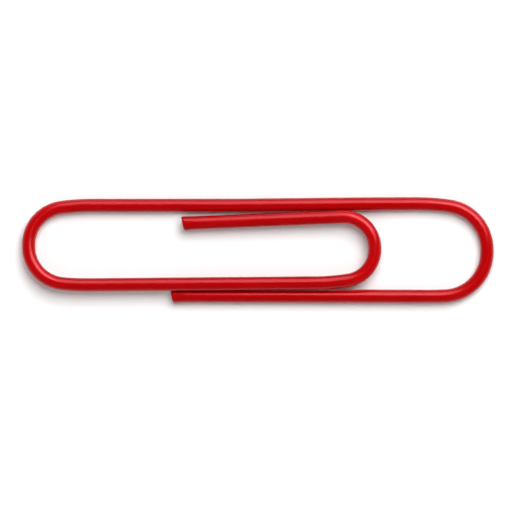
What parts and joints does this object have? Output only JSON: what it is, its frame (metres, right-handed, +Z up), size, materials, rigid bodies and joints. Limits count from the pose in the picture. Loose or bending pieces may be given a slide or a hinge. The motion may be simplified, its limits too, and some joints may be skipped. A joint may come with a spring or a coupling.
{
  "type": "paper clip",
  "caption": "Wire paper clip in red vinyl-coated steel: an outer loop and an inner tongue that lifts as the wire twists at its bends.",
  "frame": {"origin": "on the surface the clip lies on, under the middle of its overall length and width", "axes": "+X along the clip towards the large bend, +Y across it towards the long leg, +Z up to the side the tongue lifts to"},
  "size_m": [0.05, 0.0112, 0.0023],
  "materials": {
    "red_vinyl": "smooth gloss with a faint dip-coated ripple",
    "steel_core": "bare sheared steel, seen only at the two free ends"
  },
  "bodies": {
    "outer_leg": {"outer_leg_wire": "steel_core", "outer_leg_coating": "red_vinyl"},
    "spine": {"spine_wire": "steel_core", "spine_coating": "red_vinyl"},
    "middle_leg": {"middle_leg_wire": "steel_core", "middle_leg_coating": "red_vinyl"},
    "inner_leg": {"inner_leg_wire": "steel_core", "inner_leg_coating": "red_vinyl"}
  },
  "joints": [
    {"name": "outer_loop_flex", "type": "hinge", "parent": "outer_leg", "child": "spine", "pos_m": [0.02428, -0.00008, 0.00072], "axis": [0, 1, 0], "range_deg": [0, 8], "stiffness_Nm_per_rad": 0.47},
    {"name": "tongue_lift", "type": "hinge", "parent": "spine", "child": "middle_leg", "pos_m": [-0.02428, 0.00049, 0.00114], "axis": [0, -0.9932, 0.1163], "range_deg": [0, 12], "stiffness_Nm_per_rad": 0.35},
    {"name": "inner_leg_flex", "type": "hinge", "parent": "middle_leg", "child": "inner_leg", "pos_m": [0.01236, 0.00015, 0.00153], "axis": [0, 0.9999, -0.014], "range_deg": [-1, 8], "stiffness_Nm_per_rad": 0.96}
  ]
}
